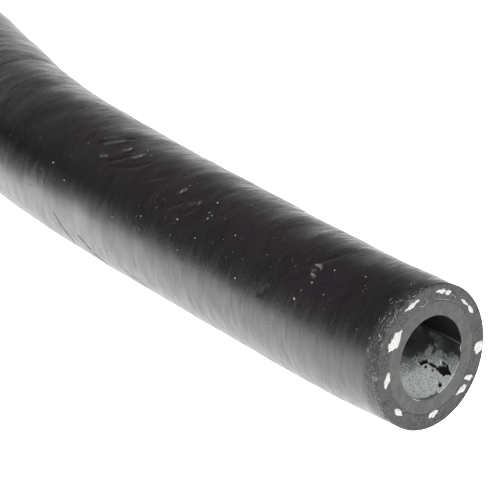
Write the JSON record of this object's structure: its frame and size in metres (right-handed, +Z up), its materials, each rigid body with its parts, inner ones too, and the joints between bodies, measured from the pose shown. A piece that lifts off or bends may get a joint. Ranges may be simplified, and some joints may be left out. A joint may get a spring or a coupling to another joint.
{
  "type": "fuel hose",
  "caption": "Length of reinforced rubber fuel hose with a plain bore, led out of a flat coil and cut square at both ends, to carry fuel between barbed fittings.",
  "frame": {"origin": "on the floor, at the middle of the underside of the whole hose's bounding box", "axes": "+Z up from the floor, +Y from the led-out cut end towards the coil, so that end's mouth faces -Y"},
  "size_m": [0.1913, 0.2149, 0.014],
  "materials": {
    "cover_rubber": "black, satin, with a fine wrapped texture, scuffs and dust",
    "tube_rubber": "dark grey, smooth, with a pale bloom inside the bore",
    "yarn_fibre": "white twisted yarn, frayed where it is cut"
  },
  "bodies": {
    "root": {"cover": "cover_rubber", "inner_tube": "tube_rubber", "yarn_free_end_1": "yarn_fibre", "yarn_free_end_2": "yarn_fibre", "yarn_free_end_3": "yarn_fibre", "yarn_free_end_4": "yarn_fibre", "yarn_free_end_5": "yarn_fibre", "yarn_free_end_6": "yarn_fibre", "yarn_free_end_7": "yarn_fibre", "yarn_free_end_8": "yarn_fibre", "yarn_free_end_9": "yarn_fibre", "yarn_coil_end_1": "yarn_fibre", "yarn_coil_end_2": "yarn_fibre", "yarn_coil_end_3": "yarn_fibre", "yarn_coil_end_4": "yarn_fibre", "yarn_coil_end_5": "yarn_fibre", "yarn_coil_end_6": "yarn_fibre", "yarn_coil_end_7": "yarn_fibre", "yarn_coil_end_8": "yarn_fibre", "yarn_coil_end_9": "yarn_fibre"}
  },
  "joints": []
}
